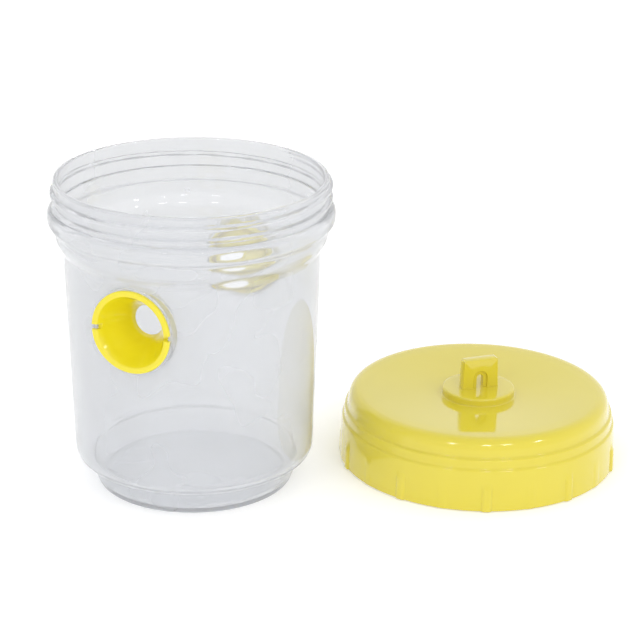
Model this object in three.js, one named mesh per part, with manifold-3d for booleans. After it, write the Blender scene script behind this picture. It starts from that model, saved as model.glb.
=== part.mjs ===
// Wasp trap, standing open with its bait jar uncovered: a clear screw-top jar that stands upright, two
// yellow entry funnels pushed into sockets on opposite sides of it, and its yellow screw lid, with a
// hanging tab, lying top up on the same surface beside it.
//
// Millimetres, +Z up. The origin is the middle of the jar's base, on the surface that it stands on, and
// the lid lies towards +X. Every piece is one closed solid.

import * as THREE from 'three';
import { mergeVertices } from 'three/addons/utils/BufferGeometryUtils.js';
import Module from 'manifold-3d';

const wasm = await Module();
wasm.setup();

// ---------------------------------------------------------------------------------------------------
// Driving dimensions
// ---------------------------------------------------------------------------------------------------

const CLEARANCE = 0.3; // gap between parts that touch or slide
const EMBED = 0.6; // how far an added rib, thread or boss reaches into the wall behind it

const jarHeight = 118.85;
const jarWall = 1.6;
const jarFloor = 1.8;
const footRadius = 38; // the narrow foot that the jar stands on
const footHeight = 10; // up to the ledge where the body starts
const bodyBottomRadius = 45.1;
const bodyTopRadius = 47.5;
const bodyCorner = 3.2; // rounding between the ledge and the body
const bandStep = 2.8; // how far the plain band below the bead stands outside the body
const bandDrop = 22.65; // from the jar's rim down to the bottom of the band
const bandCorner = 4.4; // height of the rounding under the band
const beadStep = 2.2; // how far the sealing bead stands outside the neck
const beadDrop = 14.25; // from the jar's rim down to the bead's middle
const beadHalf = 3.4;
const neckStep = 0.1; // how far the threaded neck stands outside the band
const neckWall = 1.8;
const mouthEdge = 0.7; // rounding of the mouth's rim

const threadPitch = 4.5;
const threadDepth = 1.25;
const threadHalfCrest = 0.45;
const threadHalfRoot = 1.0;
const threadDrop = 9.85; // from the jar's rim down to where its thread starts
const threadEndDrop = 2.65; // and to where it ends
const lidThreadRise = 2.7; // height that the lid's thread climbs
const lidThreadRelief = 0.15; // how much shallower the lid's thread is than the jar's

const seatDepth = 16.45; // from the lid's open edge up to the seat that meets the jar's rim
const lidWall = 1.4;
const skirtWall = 0.8; // lower skirt, round the jar's bead
const skirtTaper = 0.7; // how much narrower the skirt is at its top
const skirtTopDrop = 0.65; // from the seat down to the skirt's top
const upperStepRise = 3.25; // from the seat up to the step below the lid's upper part
const shoulderRise = 6.75; // from the seat up to where the lid's rounded top edge starts
const shoulderEdge = 3.8; // height of that rounded edge
const shoulderWidth = 4.4; // from the neck's outside in to the start of the flat top
const dishDepth = 2.1; // how far the top sinks towards the middle
const ribCount = 20;
const ribWidth = 4;
const ribDepth = 0.7; // every other rib stands half as proud
const ribHeight = 10.2;
const ribPhase = 18.3; // degrees round from +X to the first tall rib

const discRadius = 14; // raised disc in the middle of the lid
const discHeight = 3.1;
const tabWidth = 14.8;
const tabTopWidth = 13.8;
const tabHeight = 11.7;
const tabThickness = 4.2;
const tabTurn = 19; // degrees that the tab is turned from the X axis
const eyeletWidth = 3;
const eyeletHeight = 5.2;
const eyeletReliefWidth = 5.8;
const eyeletReliefHeight = 6.6;
const eyeletReliefDepth = 0.9;
const eyeletSill = 0.4; // bottom of the eyelet, above the disc

const frontFunnelGap = 1.85; // from the rounding under the band down to each funnel's flange
const rearFunnelGap = 2.85;
const funnelAzimuth = -113.2; // degrees from +X to the way the front funnel faces
const mouthRadius = 13.2;
const throatRadius = 5.5;
const funnelLength = 14.6;
const funnelWall = 1.2;
const sleeveStep = 0.8; // how far the sleeve in the socket stands outside the mouth
const sleeveLength = 8;
const flangeStep = 1.45; // how far the flange stands outside the sleeve
const flangeThickness = 1.3;
const flangeEdge = 0.35;
const notchWidth = 2; // slots in the flange, at three and nine o'clock
const notchReach = 3.85; // how far they reach in from the flange's rim
const notchDepth = 2.6;
const socketWall = 1.8; // of the jar's boss round each funnel
const socketProud = 0.25; // how far the boss's face stands in front of the body at its widest

const lidGap = 5.1; // between the jar's bead and the lid lying beside it
const lidBearing = 10.76; // degrees from +X to the lid

const jarSegments = 50;
const lidSegments = 56;
const funnelSegments = 32;
const threadSteps = 30; // per turn

// Sizes that follow from the ones above.
const bandRadius = bodyTopRadius + bandStep;
const neckRadius = bandRadius + neckStep;
const beadRadius = neckRadius + beadStep;
const mouthInnerRadius = neckRadius - neckWall;
const beadHeight = jarHeight - beadDrop;
const bandBottom = jarHeight - bandDrop;
const threadStart = jarHeight - threadDrop;
const jarThreadTurns = (threadDrop - threadEndDrop) / threadPitch;
const lidThreadTurns = lidThreadRise / threadPitch;
const lidOffset = jarHeight - seatDepth; // how high the closed lid sits on the jar
const lidThreadRoot = neckRadius + threadDepth + CLEARANCE;
const skirtBore = beadRadius + CLEARANCE;
const skirtRadius = skirtBore + skirtWall;
const skirtTopRadius = skirtRadius - skirtTaper;
const skirtHeight = seatDepth - skirtTopDrop;
const shoulderHeight = seatDepth + shoulderRise;
const lidHeight = shoulderHeight + shoulderEdge; // to the highest ring of the lid's top
const topFlatRadius = neckRadius - shoulderWidth;
const discBase = lidHeight - dishDepth;
const discTop = discBase + discHeight;
const sleeveRadius = mouthRadius + sleeveStep;
const flangeRadius = sleeveRadius + flangeStep;
const socketRadius = sleeveRadius + CLEARANCE + socketWall;
const highestFunnelAxis = bandBottom - bandCorner - flangeRadius;
const seatPlane = bodyTopRadius + socketProud; // distance of a boss's face from the jar's axis
const flangeBack = seatPlane + CLEARANCE;
const flangeFront = flangeBack + flangeThickness;
const lidDistance = beadRadius + skirtRadius + lidGap;

// ---------------------------------------------------------------------------------------------------
// Building blocks
// ---------------------------------------------------------------------------------------------------

const degrees = THREE.MathUtils.degToRad;
const point = (radius, height) => new THREE.Vector2(radius, height);

// Points of an elliptical arc in a lathe profile, from one angle to another, ends included.
function arc(centreRadius, centreHeight, radial, vertical, fromDeg, toDeg, steps) {
  const curve = new THREE.EllipseCurve(
    centreRadius, centreHeight, radial, vertical, degrees(fromDeg), degrees(toDeg), toDeg < fromDeg,
  );
  return curve.getPoints(steps);
}

// A closed geometry as a solid that can be joined and cut.
function solid(geometry) {
  const bare = geometry.clone();
  bare.deleteAttribute('normal');
  bare.deleteAttribute('uv');
  const merged = mergeVertices(bare, 1e-4);
  return new wasm.Manifold(new wasm.Mesh({
    numProp: 3,
    vertProperties: new Float32Array(merged.attributes.position.array),
    triVerts: new Uint32Array(merged.index.array),
  }));
}

// The solid's surface as a geometry again.
function geometryOf(body) {
  const mesh = body.getMesh();
  const geometry = new THREE.BufferGeometry();
  geometry.setAttribute('position', new THREE.BufferAttribute(mesh.vertProperties, 3));
  geometry.setIndex(new THREE.BufferAttribute(mesh.triVerts, 1));
  geometry.computeVertexNormals();
  return geometry;
}

// A solid of revolution about +Z, from a profile of (radius, height) points listed upwards.
function turned(profile, segments) {
  const geometry = new THREE.LatheGeometry(profile, segments);
  geometry.rotateX(Math.PI / 2);
  return solid(geometry);
}

// Moves a solid that was turned about +Z so that its axis points outwards from the jar, level, and its
// zero height lies at the given distance from the jar's axis.
function facing(body, azimuth, distance, height) {
  const place = new THREE.Matrix4().makeRotationZ(degrees(azimuth))
    .multiply(new THREE.Matrix4().makeTranslation(distance, 0, height))
    .multiply(new THREE.Matrix4().makeRotationY(Math.PI / 2));
  return body.transform(place.elements);
}

// A screw thread's ridge: a trapezium carried round a helix, sunk into the wall at both of its ends.
// side is 1 for a thread that stands outwards and -1 for one that stands inwards.
function threadRidge(rootRadius, depth, side, startDeg, startHeight, turns) {
  const rootHeight = threadHalfRoot * (1 + EMBED / depth);
  const section = [
    [-EMBED, -rootHeight], [depth, -threadHalfCrest], [depth, threadHalfCrest], [-EMBED, rootHeight],
  ];
  const steps = Math.round(threadSteps * turns);
  const fadeSteps = 2;
  const positions = [];
  for (let i = 0; i <= steps; i += 1) {
    const turn = (turns * i) / steps;
    const angle = degrees(startDeg) + 2 * Math.PI * turn;
    const fade = Math.min(1, i / fadeSteps, (steps - i) / fadeSteps);
    for (const [out, up] of section) {
      const reach = out > 0 ? THREE.MathUtils.lerp(-EMBED / 2, out, fade) : out;
      const radius = rootRadius + side * reach;
      const height = startHeight + threadPitch * turn + up;
      positions.push(radius * Math.cos(angle), radius * Math.sin(angle), height);
    }
  }
  const around = section.length;
  const index = [];
  const triangle = (a, b, c) => index.push(...(side > 0 ? [a, c, b] : [a, b, c]));
  for (let i = 0; i < steps; i += 1) {
    for (let k = 0; k < around; k += 1) {
      const here = i * around + k;
      const next = i * around + ((k + 1) % around);
      triangle(here, next, here + around);
      triangle(next, next + around, here + around);
    }
  }
  for (let k = 1; k < around - 1; k += 1) {
    const last = steps * around;
    triangle(0, k + 1, k);
    triangle(last, last + k, last + k + 1);
  }
  const geometry = new THREE.BufferGeometry();
  geometry.setAttribute('position', new THREE.Float32BufferAttribute(positions, 3));
  geometry.setIndex(index);
  return solid(geometry);
}

// An arch: a slot with a round top, standing on its sill, drawn in the XY plane with Y upwards.
function archShape(width, height) {
  const shape = new THREE.Shape();
  const half = width / 2;
  shape.moveTo(-half, 0);
  shape.lineTo(half, 0);
  shape.lineTo(half, height - half);
  shape.absarc(0, height - half, half, 0, Math.PI, false);
  shape.closePath();
  return shape;
}

// A flat shape stood upright across the Y axis, centred on it.
function upright(shape, thickness, curveSegments = 8) {
  const geometry = new THREE.ExtrudeGeometry(shape, { depth: thickness, bevelEnabled: false, curveSegments });
  geometry.translate(0, 0, -thickness / 2);
  geometry.rotateX(Math.PI / 2);
  return solid(geometry);
}

// ---------------------------------------------------------------------------------------------------
// Jar
// ---------------------------------------------------------------------------------------------------

// The jar's outside, as a full solid.
function jarOuter() {
  const footEdge = 0.8;
  return turned([
    point(0, 0),
    point(footRadius - footEdge, 0),
    point(footRadius, footEdge),
    point(footRadius + footEdge, footHeight - footEdge),
    point(footRadius + 2 * footEdge, footHeight),
    ...arc(bodyBottomRadius - bodyCorner, footHeight + bodyCorner, bodyCorner, bodyCorner, -90, 0, 3),
    ...arc(bodyTopRadius, bandBottom, bandRadius - bodyTopRadius, bandCorner, -90, 0, 4),
    point(bandRadius, beadHeight - beadHalf),
    ...arc(neckRadius, beadHeight, beadRadius - neckRadius, beadHalf, -75, 75, 6),
    point(neckRadius, beadHeight + beadHalf),
    point(neckRadius, jarHeight - mouthEdge),
    point(neckRadius - mouthEdge, jarHeight),
    point(0, jarHeight),
  ], jarSegments);
}

// The space inside the jar, open at the top.
function jarInner() {
  const aboveMouth = jarHeight + 5;
  const ledge = footHeight + jarWall;
  const corner = bodyCorner - jarWall;
  return turned([
    point(0, jarFloor),
    point(footRadius - jarWall, jarFloor),
    point(footRadius - jarWall + 0.6, ledge),
    ...arc(bodyBottomRadius - jarWall - corner, ledge + corner, corner, corner, -90, 0, 2),
    point(bodyTopRadius - jarWall, bandBottom - bandCorner),
    point(mouthInnerRadius, bandBottom + jarWall),
    point(mouthInnerRadius, aboveMouth),
    point(0, aboveMouth),
  ], jarSegments);
}

// A plain round bar on a funnel's axis, between two distances from the jar's axis.
function socketBar(radius, from, to, azimuth, height) {
  const length = to - from;
  const bar = turned([point(0, 0), point(radius, 0), point(radius, length), point(0, length)], funnelSegments);
  return facing(bar, azimuth, from, height);
}

function jarGeometry(sockets) {
  const insideWall = seatPlane - sleeveLength - jarWall;
  let body = jarOuter().add(threadRidge(neckRadius, threadDepth, 1, -180, threadStart, jarThreadTurns));
  for (const { azimuth, height } of sockets) {
    body = body.add(socketBar(socketRadius, insideWall, seatPlane, azimuth, height));
  }
  body = body.subtract(jarInner());
  for (const { azimuth, height } of sockets) {
    const past = flangeFront + 1;
    body = body.subtract(socketBar(sleeveRadius + CLEARANCE, insideWall, past, azimuth, height));
  }
  return geometryOf(body);
}

// ---------------------------------------------------------------------------------------------------
// Lid
// ---------------------------------------------------------------------------------------------------

// The lid's outside, as a full solid: stepped skirt, rounded edge, dished top and raised disc.
function lidOuter() {
  const step = 0.7;
  const middleRadius = neckRadius + CLEARANCE + lidWall;
  const upperRadius = middleRadius - lidWall + step / 2;
  const edge = lidHeight - shoulderHeight;
  const discEdge = 0.5;
  return turned([
    point(0, 0),
    point(skirtRadius, 0),
    point(skirtRadius, ribHeight - 2),
    point(skirtTopRadius, skirtHeight),
    point(middleRadius, skirtHeight + step),
    point(middleRadius - 0.1, seatDepth + upperStepRise),
    point(upperRadius, seatDepth + upperStepRise + step),
    ...arc(topFlatRadius, shoulderHeight, upperRadius - 0.3 - topFlatRadius, edge, 0, 90, 4),
    point(discRadius, discBase),
    point(discRadius, discTop - discEdge),
    point(discRadius - discEdge, discTop),
    point(0, discTop),
  ], lidSegments);
}

// The space inside the lid: room for the bead, the thread's root, the seat and the space above the rim.
function lidInner() {
  const below = -5;
  const threadBottom = beadHeight + beadHalf - lidOffset + CLEARANCE;
  const threadTop = skirtHeight - lidWall / 2;
  const upperBore = mouthInnerRadius + neckWall / 3;
  const middleBore = neckRadius + CLEARANCE;
  return turned([
    point(0, below),
    point(skirtBore, below),
    point(skirtBore, threadBottom),
    point(lidThreadRoot, threadBottom + skirtBore - lidThreadRoot),
    point(lidThreadRoot, threadTop),
    point(middleBore, threadTop + CLEARANCE),
    point(middleBore, seatDepth),
    point(upperBore, seatDepth),
    point(upperBore, shoulderHeight),
    point(topFlatRadius, lidHeight - lidWall),
    point(discRadius, discBase - lidWall),
    point(0, discBase - lidWall),
  ], lidSegments);
}

// One grip rib on the skirt, with a sloping top, at zero degrees.
function gripRib(depth) {
  const shape = new THREE.Shape([
    point(skirtRadius - EMBED, 0),
    point(skirtRadius + depth, 0),
    point(skirtRadius + depth, ribHeight - 2 * ribDepth),
    point(skirtRadius - EMBED, ribHeight),
  ]);
  return upright(shape, ribWidth);
}

// The hanging tab: an upright plate that narrows upwards, with an eyelet relieved on both faces.
function hangingTab() {
  const plate = new THREE.Shape([
    point(-tabWidth / 2, -EMBED),
    point(tabWidth / 2, -EMBED),
    point(tabTopWidth / 2, tabHeight),
    point(-tabTopWidth / 2, tabHeight),
  ]);
  const relief = upright(archShape(eyeletReliefWidth, eyeletReliefHeight), tabThickness);
  const reliefShift = tabThickness - eyeletReliefDepth;
  return upright(plate, tabThickness)
    .subtract(upright(archShape(eyeletWidth, eyeletHeight), 2 * tabThickness).translate([0, 0, eyeletSill]))
    .subtract(relief.translate([0, -reliefShift, eyeletSill]))
    .subtract(relief.translate([0, reliefShift, eyeletSill]));
}

function lidGeometry() {
  let body = lidOuter();
  for (let i = 0; i < ribCount; i += 1) {
    const rib = gripRib(i % 2 === 0 ? ribDepth : ribDepth / 2);
    body = body.add(rib.rotate([0, 0, ribPhase + (360 * i) / ribCount]));
  }
  body = body.add(hangingTab().rotate([0, 0, tabTurn]).translate([0, 0, discTop]));
  body = body.subtract(lidInner());
  const threadLift = threadStart + threadPitch / 2 - lidOffset;
  const threadReach = threadDepth - lidThreadRelief;
  body = body.add(threadRidge(lidThreadRoot, threadReach, -1, -180, threadLift, lidThreadTurns));
  return geometryOf(body);
}

// ---------------------------------------------------------------------------------------------------
// Entry funnel
// ---------------------------------------------------------------------------------------------------

// Turned about its axis with the flange's front face at height zero and the throat below it, then
// notched and laid level. The cone leads in from the mouth to the throat, and the sleeve round it
// fills the jar's socket.
function funnelGeometry() {
  const slope = (mouthRadius - throatRadius) / funnelLength;
  const coneOuter = (depth) => mouthRadius - slope * depth + funnelWall;
  const sleeveInner = sleeveRadius - funnelWall;
  const grooveDepth = (mouthRadius + funnelWall - sleeveInner) / slope;
  let body = turned([
    point(throatRadius, -funnelLength),
    point(coneOuter(funnelLength), -funnelLength),
    point(sleeveInner, -grooveDepth),
    point(sleeveInner, -sleeveLength),
    point(sleeveRadius, -sleeveLength),
    point(sleeveRadius, -flangeThickness),
    point(flangeRadius, -flangeThickness),
    point(flangeRadius, -flangeEdge),
    point(flangeRadius - flangeEdge, 0),
    point(mouthRadius, 0),
    point(throatRadius, -funnelLength),
  ], funnelSegments);
  const notchInner = flangeRadius - notchReach;
  const notchLength = notchReach + 1;
  for (const side of [-1, 1]) {
    const notch = new THREE.BoxGeometry(notchWidth, notchLength, 2 * notchDepth);
    notch.translate(0, side * (notchInner + notchLength / 2), 0);
    body = body.subtract(solid(notch));
  }
  return geometryOf(facing(body, 0, 0, 0));
}

// ---------------------------------------------------------------------------------------------------
// Assembly
// ---------------------------------------------------------------------------------------------------

const clearPlastic = new THREE.MeshStandardMaterial({
  color: 0xdfe3e6, roughness: 0.12, metalness: 0, transparent: true, opacity: 0.35,
});
const lidPlastic = new THREE.MeshStandardMaterial({ color: 0xf0dc1e, roughness: 0.22, metalness: 0 });
const funnelPlastic = new THREE.MeshStandardMaterial({ color: 0xeacb05, roughness: 0.3, metalness: 0 });

function part(name, geometry, material) {
  const mesh = new THREE.Mesh(geometry, material);
  mesh.name = name;
  return mesh;
}

const sockets = [
  { name: 'front_funnel', azimuth: funnelAzimuth, height: highestFunnelAxis - frontFunnelGap },
  { name: 'rear_funnel', azimuth: funnelAzimuth + 180, height: highestFunnelAxis - rearFunnelGap },
];

const trap = new THREE.Group();
trap.add(part('jar', jarGeometry(sockets), clearPlastic));

for (const { name, azimuth, height } of sockets) {
  const holder = new THREE.Group();
  holder.rotation.z = degrees(azimuth);
  const funnel = part(name, funnelGeometry(), funnelPlastic);
  funnel.position.set(flangeFront, 0, height);
  holder.add(funnel);
  trap.add(holder);
}

const lid = part('lid', lidGeometry(), lidPlastic);
lid.position.set(lidDistance * Math.cos(degrees(lidBearing)), lidDistance * Math.sin(degrees(lidBearing)), 0);
trap.add(lid);

export default trap;
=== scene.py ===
# %% [markdown]
# # An open wasp trap, with its lid beside it
#
# A wasp trap is a clear jar of bait. Wasps walk in through two yellow funnels in its wall and don't find
# the narrow holes again. Here it stands open, as it does when someone fills it. The object has four
# moulded pieces: the jar, the screw lid and the two funnels.
#
# The frame gives the bodies that move, and every piece below rides on one of them. All lengths in the
# code are in millimetres, and one function turns them to the metres that Blender works in.

# %% Load the frame
import math

import bmesh
import bpy
import numpy as np
from mathutils import Matrix


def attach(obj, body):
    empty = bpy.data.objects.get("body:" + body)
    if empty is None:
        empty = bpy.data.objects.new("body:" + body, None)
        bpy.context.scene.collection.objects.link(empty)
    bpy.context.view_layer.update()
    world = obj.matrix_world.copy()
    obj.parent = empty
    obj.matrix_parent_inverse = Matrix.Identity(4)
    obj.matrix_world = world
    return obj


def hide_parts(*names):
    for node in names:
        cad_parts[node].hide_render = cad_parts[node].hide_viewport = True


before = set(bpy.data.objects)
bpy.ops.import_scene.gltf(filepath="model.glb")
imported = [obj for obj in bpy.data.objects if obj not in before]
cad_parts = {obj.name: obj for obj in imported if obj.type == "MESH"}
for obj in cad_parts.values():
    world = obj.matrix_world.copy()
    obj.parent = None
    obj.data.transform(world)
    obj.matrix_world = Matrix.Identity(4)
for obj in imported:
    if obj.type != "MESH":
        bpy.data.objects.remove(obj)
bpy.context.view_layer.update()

# %% [markdown]
# ## The mesh maker
#
# Every surface here is a grid: a function of two parameters, worked out as one numpy array of shape
# (rows, columns, 3). Neighbouring grid points become four-sided faces. Modelling by hand or with
# Blender's own shapes would also work, but a formula keeps every wall, fit and thread at the size that it
# has on the real piece, and can be changed in one place.

# %% Turn a grid of points into a mesh
MM = 0.001
SHARP_EDGE = 35.0  # degrees


def faces_of(rows, columns, wrap_rows=False, wrap_columns=True):
    """The corners (i, j), (i, j+1), (i+1, j+1), (i+1, j) of each cell. A wrapped side joins end to start."""
    i = np.arange(rows if wrap_rows else rows - 1)[:, None]
    j = np.arange(columns if wrap_columns else columns - 1)[None, :]
    down, right = (i + 1) % rows, (j + 1) % columns
    corners = [i * columns + j, i * columns + right, down * columns + right, down * columns + j]
    return np.stack(np.broadcast_arrays(*corners), -1).reshape(-1, 4)


def finish_mesh(name, points, faces, sharp=SHARP_EDGE, fill_holes=False):
    """A mesh of the points, in mm, with doubles merged and faces turned outwards.

    Edges that bend by more than sharp degrees stay crisp. An open grid can have its holes filled.
    """
    mesh = bpy.data.meshes.new(name)
    mesh.from_pydata((points.reshape(-1, 3) * MM).tolist(), [], faces.tolist())
    work = bmesh.new()
    work.from_mesh(mesh)
    bmesh.ops.remove_doubles(work, verts=work.verts, dist=1e-6)
    bmesh.ops.dissolve_degenerate(work, edges=work.edges, dist=1e-7)
    if fill_holes:
        bmesh.ops.holes_fill(work, edges=[e for e in work.edges if e.is_boundary], sides=0)
        bmesh.ops.recalc_face_normals(work, faces=work.faces)
    if work.calc_volume(signed=True) < 0:
        bmesh.ops.reverse_faces(work, faces=work.faces)
    work.to_mesh(mesh)
    work.free()
    mesh.polygons.foreach_set("use_smooth", [True] * len(mesh.polygons))
    mesh.set_sharp_from_angle(angle=math.radians(sharp))
    return mesh


def place(name, mesh):
    """An object for the mesh, at the origin, linked to the scene."""
    obj = bpy.data.objects.new(name, mesh)
    bpy.context.scene.collection.objects.link(obj)
    return obj


# %% [markdown]
# ## Profiles with rounded corners
#
# Injection-moulded plastic has no truly sharp corners, and the small rounded edges are what catch the
# light. A profile is a list of corners, each with its radius, its height and how far the rounding reaches
# along both sides. Each corner becomes a short Bezier curve, and long straight stretches are then cut
# into even steps.

# %% Round the corners of a profile and divide it evenly
def rounded(corners, steps=6):
    """Replaces corner B, between A and C, by the curve (1-t)^2 P + 2t(1-t) B + t^2 Q.

    P and Q lie at the corner's reach from B, towards A and towards C.
    """
    corners = np.asarray(corners, float)
    b, reach = corners[:, :2], corners[:, 2:]
    a, c = np.roll(b, 1, 0), np.roll(b, -1, 0)
    toward_a = (a - b) / np.maximum(np.linalg.norm(a - b, axis=1, keepdims=True), 1e-9)
    toward_c = (c - b) / np.maximum(np.linalg.norm(c - b, axis=1, keepdims=True), 1e-9)
    t = np.linspace(0, 1, steps)[None, :, None]
    start, end = b + toward_a * reach, b + toward_c * reach
    curve = (1 - t) ** 2 * start[:, None] + 2 * t * (1 - t) * b[:, None] + t ** 2 * end[:, None]
    line = curve.reshape(-1, 2)
    keep = np.r_[True, np.linalg.norm(np.diff(line, axis=0), axis=1) > 1e-6]
    return line[keep]


def divided(line, step):
    """Adds points so that no stretch of the line is longer than step."""
    length = np.linalg.norm(np.diff(line, axis=0), axis=1)
    count = np.maximum(1, np.ceil(length / step).astype(int))
    which = np.repeat(np.arange(len(count)), count)
    part = np.concatenate([np.arange(n) / n for n in count])[:, None]
    inner = line[:-1][which] * (1 - part) + line[1:][which] * part
    return np.vstack([inner, line[-1:]])


def ease(x):
    """0 below 0, 1 above 1, and 3x^2 - 2x^3 between."""
    x = np.clip(x, 0, 1)
    return x * x * (3 - 2 * x)


def revolve(line, columns):
    """Radius and height of each profile point, and angle of each column, as three grids of one shape."""
    angle = np.arange(columns) * 2 * np.pi / columns
    radius, height = (np.repeat(line[:, k : k + 1], columns, 1) for k in (0, 1))
    return radius, height, np.broadcast_to(angle, radius.shape)


def upright(radius, height, angle, centre=(0, 0)):
    """Points on circles about a vertical axis: x = r cos a, y = r sin a, z = height."""
    return np.stack([centre[0] + radius * np.cos(angle), centre[1] + radius * np.sin(angle), height], -1)


# %% [markdown]
# ## The screw thread
#
# The jar's neck and the inside of the lid carry the two halves of one screw thread, so they share one
# formula. It could be a separate ridge joined to the wall, but a join leaves a seam that glints in clear
# plastic. Pushing the wall's own points outwards keeps the surface whole.

# %% The height of a thread's ridge over the wall
THREAD = dict(pitch=4.5, depth=1.25, crest=0.42, root=1.15)


def thread_ridge(height, angle, start, turns, begins=math.pi):
    """How far the ridge stands out of the wall.

    It is full depth within the crest's half width of the helix height = start + pitch * turn, eases to
    nothing at the root's half width, and fades over the first and last 20 degrees.
    """
    part = ((angle - begins) / (2 * np.pi)) % 1
    whole = np.round((height - start) / THREAD["pitch"] - part)
    turn = part + whole
    away = np.abs(height - start - THREAD["pitch"] * turn)
    ridge = ease((THREAD["root"] - away) / (THREAD["root"] - THREAD["crest"]))
    fade = ease(turn / 0.055) * ease((turns - turn) / 0.055)
    return THREAD["depth"] * ridge * fade


# %% [markdown]
# ## The jar
#
# The jar stands on a narrow foot. Above a ledge its wall widens slightly upwards, so that it comes out of
# its mould. Near the top are a plain band, a rounded bead that the lid's skirt closes over, and the
# threaded neck. The profile runs up the outside, over the rim and down the inside, so the wall has its
# true thickness, which clear plastic needs: light bends once at each face.

# %% Jar profile, outside and inside
JAR_HEIGHT = 118.85
NECK = 50.4
WALL = 1.6
NECK_BORE = NECK - 1.8
BODY_TOP, BODY_BOTTOM = 47.5, 45.1
jar_outside = rounded([
    (0, 0.4, 0), (34.2, 0.4, 0.4), (35.0, 0, 0.4), (37.0, 0, 1.0), (38.2, 3, 1.4), (38.7, 9.9, 0.9),
    (BODY_BOTTOM, 10.2, 4.2), (45.3, 17, 2), (BODY_TOP, 92.2, 1.6), (50.2, 96.2, 2.2), (50.3, 100.9, 1.6),
    (52.9, 102.3, 1.9), (52.8, 107.4, 1.9), (NECK, 107.9, 0.4),
])
jar_neck = np.array([(NECK, 108.1), (NECK, JAR_HEIGHT - 0.9)])
jar_inside = rounded([
    (NECK, JAR_HEIGHT, 0.75), (NECK_BORE, JAR_HEIGHT, 0.75), (NECK_BORE, 97.0, 2.2),
    (BODY_TOP - WALL, 92.7, 1.6), (BODY_BOTTOM - WALL, 11.8, 2.6), (37.2, 11.6, 0.8), (36.6, 5, 1),
    (36.4, 1.8, 2.2), (0, 1.8, 0),
])
jar_line = np.vstack([divided(jar_outside, 3), divided(jar_neck, 0.22), divided(jar_inside, 3)])
radius, height, angle = revolve(jar_line, 240)
on_neck = (radius > NECK - 0.01) & (height > 107.9) & (height < JAR_HEIGHT - 0.85)
radius = radius + on_neck * thread_ridge(height, angle, start=109.0, turns=1.65)
jar_points = upright(radius, height, angle)
jar_wall = place("jar_wall", finish_mesh("jar_wall", jar_points, faces_of(*radius.shape)))
print("jar wall:", len(jar_wall.data.polygons), "faces")

# %% [markdown]
# ## Funnel sockets in the jar
#
# Each funnel sits in a short round collar in the jar's wall. The collar and its hole are turned shapes
# whose axis is level and points out of the jar. The jar's wall and a turned collar can't share one grid,
# so the collar is joined and the hole is cut with exact booleans, which keep the wall one closed solid.

# %% Point a turned shape out of the jar
def outwards(radius, depth, angle, bearing, height):
    """Points about a level line d = (cos b, sin b, 0): depth d + radius (cos a side + sin a up)."""
    b = math.radians(bearing)
    direction, side = np.array([math.cos(b), math.sin(b), 0]), np.array([-math.sin(b), math.cos(b), 0])
    point = depth[..., None] * direction + (radius * np.cos(angle))[..., None] * side
    return point + (radius * np.sin(angle) + height)[..., None] * np.array([0, 0, 1])


def turned_out(name, line, bearing, height, columns=128, closed=False):
    """A solid from a profile of (radius, distance from the jar's axis)."""
    r, d, a = revolve(line, columns)
    return finish_mesh(name, outwards(r, d, a, bearing, height), faces_of(*r.shape, wrap_rows=closed))


def combine(obj, tool_mesh, operation):
    """Joins the tool to the object, or cuts it away, and keeps the result as the object's own mesh."""
    tool = place("tool", tool_mesh)
    step = obj.modifiers.new("step", "BOOLEAN")
    step.operation, step.object, step.solver = operation, tool, "EXACT"
    done = bpy.data.meshes.new_from_object(obj.evaluated_get(bpy.context.evaluated_depsgraph_get()))
    obj.modifiers.clear()
    obj.data = done
    bpy.data.objects.remove(tool)
    done.polygons.foreach_set("use_smooth", [True] * len(done.polygons))
    done.set_sharp_from_angle(angle=math.radians(SHARP_EDGE))


# %% Collars and holes
BEARING = -113.2
FUNNELS = {"front_funnel": (BEARING, 74.5), "rear_funnel": (BEARING + 180, 73.5)}
COLLAR_FACE = 47.75
SOCKET = 14.3
COLLAR = 16.1
for bearing, height in FUNNELS.values():
    collar = rounded([(0, 43, 0), (COLLAR, 43, 0.2), (COLLAR, COLLAR_FACE, 0.5), (0, COLLAR_FACE, 0)])
    combine(jar_wall, turned_out("collar", collar, bearing, height), "UNION")
for bearing, height in FUNNELS.values():
    # The collar's back also fills a little of the jar, so the hole is cut from well inside.
    hole = np.array([(0, 30), (SOCKET, 30), (SOCKET, 52), (0, 52)], float)
    combine(jar_wall, turned_out("hole", hole, bearing, height), "DIFFERENCE")
jar_wall.data.name = "jar_wall"
print("jar with sockets:", len(jar_wall.data.polygons), "faces")

# %% [markdown]
# ## The entry funnels
#
# A funnel is one moulding: a flat flange, a cone that leads in to a small hole, and a sleeve round the
# cone that fills the socket. Two slots in the flange, left and right, take a tool or a fingernail. The
# profile closes on itself, and the slots are cut afterwards, because they aren't turned shapes.

# %% Build both funnels
FLANGE_BACK = COLLAR_FACE + 0.3
FLANGE_FRONT = FLANGE_BACK + 1.3
SLOT_WIDTH, SLOT_DEPTH, SLOT_FROM = 2.0, 2.4, 11.8
funnel_profile = [
    (5.7, -15.2, 0.3), (6.9, -15.2, 0.3), (12.75, -4.4, 0.3), (12.75, -8.0, 0.2), (13.95, -8.0, 0.3),
    (13.95, -1.3, 0.1), (15.45, -1.3, 0.3), (15.45, 0, 0.45), (13.35, 0, 0.5),
    (11.2, -4.4, 1.5), (5.7, -13.6, 1.2),
]


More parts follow.
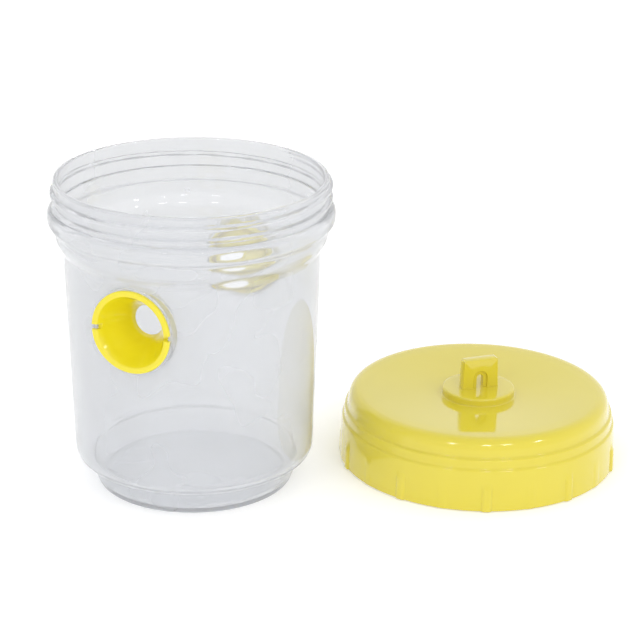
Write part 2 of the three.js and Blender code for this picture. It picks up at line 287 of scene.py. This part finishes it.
def slot_tool(bearing, height, side):
    """A box across the flange, at three or nine o'clock, past the flange's edge and its front face."""
    u, v, w = np.meshgrid([0, 1], [0, 1], [0, 1], indexing="ij")
    across = side * (SLOT_FROM + 5 * u.ravel())
    up, depth = SLOT_WIDTH * (v.ravel() - 0.5), FLANGE_FRONT + 1 - (SLOT_DEPTH + 1) * w.ravel()
    points = outwards(np.hypot(across, up), depth, np.arctan2(up, across), bearing, height)
    corners = [(0, 1, 3, 2), (4, 6, 7, 5), (0, 4, 5, 1), (2, 3, 7, 6), (0, 2, 6, 4), (1, 5, 7, 3)]
    return finish_mesh("slot", points, np.array(corners))


funnels = {}
for name, (bearing, height) in FUNNELS.items():
    line = rounded(funnel_profile, steps=5)
    line = np.column_stack([line[:, 0], line[:, 1] + FLANGE_FRONT])
    funnel = place(name + "_moulding", turned_out(name, line, bearing, height, closed=True))
    for side in (-1, 1):
        combine(funnel, slot_tool(bearing, height, side), "DIFFERENCE")
    funnels[name] = funnel
    print(name, len(funnel.data.polygons), "faces")

# %% [markdown]
# ## The lid
#
# The lid's skirt has two steps, a rounded shoulder and a top that sinks gently towards a raised disc in
# the middle. Ten tall grip ribs and ten faint ones stand on the skirt. They could be twenty small blocks,
# but a real rib flows out of the skirt, so here the skirt's own points are pushed out where a rib is.

# %% Lid profile and grip ribs
LID_AT = (109.45, 20.8)
DISC_TOP = 28.0
SKIRT_BORE = 52.9
RIB_CIRCLE = 54  # ribs are measured along a circle of this radius
RIB_STEP, RIB_PHASE = math.pi / 10, math.radians(-89.7)
TALL_RIB, FAINT_RIB = 0.75, 0.15  # how far a rib stands out of the skirt
RIB_HALF_WIDTH, RIB_FLANK = 2.05, 0.9
RIB_TOP, RIB_FADE = 10.6, 1.6
LID_THREAD_BORE, LID_THREAD_FROM, LID_THREAD_TO, LID_THREAD_SHARE = 51.9, 6.9, 15.1, 0.85
lid_outside = [
    (0, DISC_TOP, 0), (14, DISC_TOP, 0.8), (14.1, 24.9, 0.5), (43.0, 26.95, 2.6), (50.0, 27.05, 4.0),
    (50.75, 21.6, 1.0), (51.0, 20.4, 0.35), (52.0, 19.8, 0.4), (52.15, 16.6, 0.35), (53.0, 15.9, 0.4),
    (53.6, 8, 3), (53.75, 0, 0.5),
]
lid_inside = [
    (SKIRT_BORE, 0, 0.4), (SKIRT_BORE, 5.9, 0.2), (51.95, 6.9, 0.2), (51.95, 15.1, 0.2), (50.7, 15.4, 0.2),
    (50.7, 16.45, 0.2), (49.2, 16.45, 0.3), (49.2, 23.2, 1.5), (46, 25.6, 1.2),
    (14, 23.5, 0.5), (0, 23.5, 0),
]
outside_line, inside_line = divided(rounded(lid_outside), 1.6), divided(rounded(lid_inside), 0.8)
lid_line = np.vstack([outside_line, inside_line])
radius, height, angle = revolve(lid_line, 600)
rows = np.arange(len(lid_line))[:, None]
outside = rows < len(outside_line)
from_rib = (angle - RIB_PHASE + RIB_STEP / 2) % RIB_STEP - RIB_STEP / 2
rib_number = np.round((angle - RIB_PHASE) / RIB_STEP).astype(int)
proud = np.where(rib_number % 2 == 0, TALL_RIB, FAINT_RIB)
across_rib = ease((RIB_HALF_WIDTH - np.abs(from_rib) * RIB_CIRCLE) / RIB_FLANK)
rib_shape = across_rib * ease((RIB_TOP - height) / RIB_FADE)
radius = radius + (outside & (radius > SKIRT_BORE)) * proud * rib_shape
inner_thread = thread_ridge(height, angle, start=8.85, turns=0.6)
on_thread = ~outside & (radius > LID_THREAD_BORE) & (height > LID_THREAD_FROM) & (height < LID_THREAD_TO)
radius = radius - on_thread * LID_THREAD_SHARE * inner_thread
lid_points = upright(radius, height, angle, LID_AT)
lid = place("lid_moulding", finish_mesh("lid_moulding", lid_points, faces_of(*radius.shape)))
print("lid:", len(lid.data.polygons), "faces")

# %% [markdown]
# ## The hanging tab
#
# The tab is a plate that stands on the disc, with an arched eyelet for a cord and a shallow arched recess
# round it on both faces. Seen from the front it is an upside-down U, so one grid covers it: one parameter
# runs along the U from the left leg to the right one, and the other goes round its cross-section, from
# the eyelet's edge out to the rim and back.

# %% Tab as a U with a stepped section
TAB_TURN = math.radians(19)
TAB_HEIGHT = 11.7
TAB_HALF_WIDTH, TAB_HALF_WIDTH_TOP, TAB_CORNER = 7.4, 6.9, 0.6
TAB_SINK = 0.3  # how deep the tab's foot goes into the disc
EYELET_HALF_WIDTH, EYELET_TOP = 1.35, 5.3
RECESS_HALF_WIDTH, RECESS_TOP = 2.85, 6.9
TAB_HALF_DEPTH, RECESS_HALF_DEPTH = 2.1, 1.2


def u_path(t, half_width, top, half_width_top=None, corner=0.0):
    """A point at share t along an upside-down U.

    Without half_width_top it is an arch with a half-round head. With it, it is the outline of a plate that
    narrows to half_width_top, its corners rounded by corner.
    """
    if half_width_top is None:
        a = np.pi * (1 - np.clip((t - 0.2) / 0.6, 0, 1))
        leg = np.where(t < 0.2, t / 0.2, np.where(t > 0.8, (1 - t) / 0.2, 1)) * (top - half_width)
        return np.stack([half_width * np.cos(a), leg + half_width * np.sin(a)], -1)
    left = [(-half_width, 0, 0), (-half_width_top, top, corner)]
    corners = left + [(half_width_top, top, corner), (half_width, 0, 0)]
    line = rounded(corners, steps=9)
    along = np.r_[0, np.cumsum(np.linalg.norm(np.diff(line, axis=0), axis=1))]
    return np.stack([np.interp(t * along[-1], along, line[:, k]) for k in (0, 1)], -1)


def tab_section():
    """Rings of the section as (outline, inset, depth): outline 0 is the eyelet, 1 the recess, 2 the rim."""
    half, sunk, edge = TAB_HALF_DEPTH, RECESS_HALF_DEPTH, 0.35
    front = [(0, 0, sunk - 0.15), (0, 0.15, sunk), (1, 0, sunk), (1, 0, half - 0.2), (1, 0.2, half),
             (2, edge, half), (2, edge * 0.3, half - edge * 0.3), (2, 0, half - edge)]
    return front + [(which, inset, -depth) for which, inset, depth in front[::-1]]


share = np.linspace(0, 1, 97)
rings = []
for which, inset, depth in tab_section():
    if which == 0:
        flat = u_path(share, EYELET_HALF_WIDTH + inset, EYELET_TOP + inset)
    elif which == 1:
        flat = u_path(share, RECESS_HALF_WIDTH + inset, RECESS_TOP + inset)
    else:
        half_width, half_width_top = TAB_HALF_WIDTH - inset, TAB_HALF_WIDTH_TOP - inset
        flat = u_path(share, half_width, TAB_HEIGHT - inset, half_width_top, TAB_CORNER)
    rings.append(np.column_stack([flat[:, 0], np.full(len(share), -depth), flat[:, 1]]))
grid = np.stack(rings, 0)
cosine, sine = math.cos(TAB_TURN), math.sin(TAB_TURN)
tab_points = np.stack([
    LID_AT[0] + cosine * grid[..., 0] - sine * grid[..., 1],
    LID_AT[1] + sine * grid[..., 0] + cosine * grid[..., 1],
    DISC_TOP - TAB_SINK + grid[..., 2] * (TAB_HEIGHT + TAB_SINK) / TAB_HEIGHT,
], -1)
rows, columns = grid.shape[:2]
tab_faces = faces_of(rows, columns, wrap_rows=True, wrap_columns=False)
tab = place("hanging_tab", finish_mesh("hanging_tab", tab_points, tab_faces, sharp=30, fill_holes=True))
print("tab:", len(tab.data.polygons), "faces")

# %% [markdown]
# ## Plastics
#
# All four pieces are polypropylene, injection-moulded in polished steel moulds. The jar's is natural:
# clear but a little milky, because the plastic forms tiny crystals as it cools. The lid's and funnels' is
# dyed yellow right through. Its gloss is that of the mould: smooth, with faint waves where the wall
# shrank, which bend the reflections.

# %% Helpers for materials
def linear(hex_colour):
    """The hex colour's sRGB values, each turned to linear: ((c + 0.055) / 1.055) to the power 2.4."""
    c = np.array([int(hex_colour[k : k + 2], 16) for k in (1, 3, 5)]) / 255
    value = np.where(c <= 0.04045, c / 12.92, ((c + 0.055) / 1.055) ** 2.4)
    return (*value.tolist(), 1.0)


def add(owner, kind, settings=None, links=None):
    """Adds a node to a material or world, sets its inputs or properties and links sockets into it."""
    node = owner.node_tree.nodes.new(kind)
    for name, value in (settings or {}).items():
        if name in node.inputs:
            node.inputs[name].default_value = value
        else:
            setattr(node, name, value)
    for name, socket in (links or {}).items():
        owner.node_tree.links.new(socket, node.inputs[name])
    return node


def new_material(name):
    """A material with no nodes in it yet."""
    material = bpy.data.materials.new(name)
    material.use_nodes = True
    material.node_tree.nodes.clear()
    return material


def moulded_surface(material, wave_mm, wave_height, speck_mm, roughness):
    """Bump from slow sink waves, and roughness that varies in small patches, in the piece's own mm."""
    place_in = add(material, "ShaderNodeTexCoord").outputs["Object"]
    waves = add(material, "ShaderNodeTexNoise", {"Scale": 1000 / wave_mm, "Detail": 1.5},
                {"Vector": place_in})
    specks = add(material, "ShaderNodeTexNoise", {"Scale": 1000 / speck_mm, "Detail": 3.0},
                 {"Vector": place_in})
    bump = add(material, "ShaderNodeBump", {"Strength": 1.0, "Distance": wave_height * MM},
               {"Height": waves.outputs["Fac"]})
    patchy = add(material, "ShaderNodeMapRange", {"To Min": roughness[0], "To Max": roughness[1]},
                 {"Value": specks.outputs["Fac"]})
    return waves, bump, patchy


# %% Natural polypropylene for the jar
NATURAL_COLOUR = "#E9EAEC"


def natural_polypropylene():
    """Clear, slightly milky: mostly light that passes through, and a little that scatters back white."""
    material = new_material("natural_polypropylene_moulded")
    waves, bump, patchy = moulded_surface(material, 26, 0.03, 1.5, (0.02, 0.06))
    # Milkiness comes as slow clouds, where thicker wall cooled more slowly.
    cloud = add(material, "ShaderNodeMapRange", {"To Min": 0.70, "To Max": 0.76},
                {"Value": waves.outputs["Fac"]})
    # Solid polypropylene bends light more, at 1.49. The lower index is a choice for looks: what stands
    # behind the thread then shows fewer hard double edges.
    shader = add(material, "ShaderNodeBsdfPrincipled",
                 {"Base Color": linear(NATURAL_COLOUR), "IOR": 1.34, "Specular IOR Level": 0.5},
                 {"Transmission Weight": cloud.outputs["Result"], "Roughness": patchy.outputs["Result"],
                  "Normal": bump.outputs["Normal"]})
    # Lamp light passes straight through, as it does through a thin wall, so the inside of the jar isn't
    # in shadow.
    passing = add(material, "ShaderNodeBsdfTransparent", {"Color": linear(NATURAL_COLOUR)})
    lamp_ray = add(material, "ShaderNodeLightPath").outputs["Is Shadow Ray"]
    both = add(material, "ShaderNodeMixShader", {}, {"Fac": lamp_ray})
    material.node_tree.links.new(shader.outputs["BSDF"], both.inputs[1])
    material.node_tree.links.new(passing.outputs["BSDF"], both.inputs[2])
    add(material, "ShaderNodeOutputMaterial", {}, {"Surface": both.outputs["Shader"]})
    return material


# %% Dyed polypropylene for the lid and funnels
def dyed_polypropylene(name, light, deep, gloss):
    """Opaque yellow with a soft inner glow, drifting between two shades where dye mixed unevenly."""
    material = new_material(name)
    waves, bump, patchy = moulded_surface(material, 22, 0.05, 1.2, gloss)
    blend = add(material, "ShaderNodeMix", {"data_type": "RGBA"}, {"Factor": waves.outputs["Fac"]})
    blend.inputs[6].default_value, blend.inputs[7].default_value = linear(light), linear(deep)
    shader = add(material, "ShaderNodeBsdfPrincipled",
                 {"IOR": 1.5, "Coat Weight": 0.7, "Coat Roughness": 0.08, "Subsurface Weight": 0.1,
                  "Subsurface Scale": 0.002, "Subsurface Radius": (1.0, 0.8, 0.2)},
                 {"Base Color": blend.outputs[2], "Roughness": patchy.outputs["Result"],
                  "Normal": bump.outputs["Normal"]})
    add(material, "ShaderNodeOutputMaterial", {}, {"Surface": shader.outputs["BSDF"]})
    return material


jar_plastic = natural_polypropylene()
lid_plastic = dyed_polypropylene("yellow_polypropylene_lid", "#DECE3E", "#D9C934", (0.08, 0.14))
funnel_plastic = dyed_polypropylene("yellow_polypropylene_funnel", "#EADC20", "#E4D414", (0.2, 0.28))

# %% Put the plastics on and tie the pieces to the frame
for obj, material, body, slot in (
    (jar_wall, jar_plastic, "jar", "clear_plastic"),
    (lid, lid_plastic, "lid", "lid_plastic"),
    (tab, lid_plastic, "lid", "lid_plastic"),
    (funnels["front_funnel"], funnel_plastic, "front_funnel", "funnel_plastic"),
    (funnels["rear_funnel"], funnel_plastic, "rear_funnel", "funnel_plastic"),
):
    obj.data.materials.clear()
    obj.data.materials.append(material)
    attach(obj, body)
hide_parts("jar")
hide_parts("lid")
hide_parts("front_funnel")
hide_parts("rear_funnel")

# %% [markdown]
# ## Floor, light and camera
#
# Clear plastic shows only what surrounds it, so the surroundings matter more than the lamps. A white
# floor and a white sky give the jar its pale grey, and the sky's slow change from top to horizon draws
# its edges. Four small lamps add the short highlights on the lid's shoulder and inside the jar's bead.

# %% Floor
FLOOR_REACH = 3000
ends = (-FLOOR_REACH, FLOOR_REACH)
floor_points = np.array([(x, y, 0.0) for y in ends for x in ends])
floor_mesh = finish_mesh("floor", floor_points, np.array([(0, 1, 3, 2)]))
floor = place("floor", floor_mesh)
floor.location.z = -0.0002
paper = new_material("white_paper_sweep")
grain = add(paper, "ShaderNodeTexNoise", {"Scale": 400.0, "Detail": 2.0},
            {"Vector": add(paper, "ShaderNodeTexCoord").outputs["Object"]})
paper_bump = add(paper, "ShaderNodeBump", {"Strength": 0.2, "Distance": 0.0001},
                 {"Height": grain.outputs["Fac"]})
paper_shader = add(paper, "ShaderNodeBsdfPrincipled",
                   {"Base Color": linear("#FAFAFA"), "Roughness": 0.8, "Specular IOR Level": 0.1,
                    "Emission Color": linear("#FFFFFF"), "Emission Strength": 0.2},
                   {"Normal": paper_bump.outputs["Normal"]})
add(paper, "ShaderNodeOutputMaterial", {}, {"Surface": paper_shader.outputs["BSDF"]})
floor_mesh.materials.append(paper)

# %% Sky and lamps
world = bpy.data.worlds.new("studio")
bpy.context.scene.world = world
world.use_nodes = True
background = world.node_tree.nodes["Background"]
direction = add(world, "ShaderNodeTexCoord").outputs["Generated"]
up = add(world, "ShaderNodeSeparateXYZ", {}, {"Vector": direction})
fall = add(world, "ShaderNodeMapRange", {"From Min": 0.0, "From Max": 1.0, "To Min": 1.06, "To Max": 0.86},
           {"Value": up.outputs["Z"]})
world.node_tree.links.new(fall.outputs["Result"], background.inputs["Strength"])
background.inputs["Color"].default_value = (1.0, 1.0, 1.0, 1.0)


def lamp(name, at, toward, width, height, power):
    """A soft lamp, width by height, at a point and aimed at another, all in metres."""
    data = bpy.data.lights.new(name, "AREA")
    data.shape, data.size, data.size_y, data.energy = "RECTANGLE", width, height, power
    obj = bpy.data.objects.new(name, data)
    bpy.context.scene.collection.objects.link(obj)
    obj.location = at
    way = np.array(toward) - np.array(at)
    obj.rotation_euler = (math.atan2(math.hypot(way[0], way[1]), -way[2]), 0, math.atan2(-way[0], way[1]))
    return obj


# Four small strips, 0.6 m over the floor and in front of the trap, leave short bright dashes on rounded
# edges.
STRIP_PLACES = [(-0.26, -0.70), (0.17, -0.73), (0.385, -0.571), (0.765, -0.435)]
STRIP_HEIGHT, STRIP_AIM = 0.62, (0.05, 0.0, 0.08)
STRIP_LONG, STRIP_SHORT, STRIP_POWER = 0.11, 0.05, 0.45
for number, (x, y) in enumerate(STRIP_PLACES):
    lamp(f"strip_{number + 1}", (x, y, STRIP_HEIGHT), STRIP_AIM, STRIP_LONG, STRIP_SHORT, STRIP_POWER)

# %% Camera
CAMERA_LENS = 115.575
CAMERA_AT = (0.047403, -0.717649, 0.339353)
CAMERA_DOWN, CAMERA_ROLL = 21.078, 0.629  # degrees
camera_data = bpy.data.cameras.new("camera")
camera_data.lens, camera_data.sensor_width = CAMERA_LENS, 36.0
camera = bpy.data.objects.new("camera", camera_data)
bpy.context.scene.collection.objects.link(camera)
pitch, roll = math.radians(90 - CAMERA_DOWN), math.radians(CAMERA_ROLL)
tilt = np.array([[1, 0, 0], [0, math.cos(pitch), -math.sin(pitch)], [0, math.sin(pitch), math.cos(pitch)]])
turn = np.array([[math.cos(roll), -math.sin(roll), 0], [math.sin(roll), math.cos(roll), 0], [0, 0, 1]])
matrix = np.eye(4)
matrix[:3, :3] = tilt @ turn
matrix[:3, 3] = CAMERA_AT
camera.matrix_world = Matrix(matrix.tolist())
bpy.context.scene.camera = camera
bpy.context.scene.view_settings.view_transform = "Standard"

# %% [markdown]
# ## Finish
#
# The last line brings the scene up to date.

# %% Finish
bpy.context.view_layer.update()
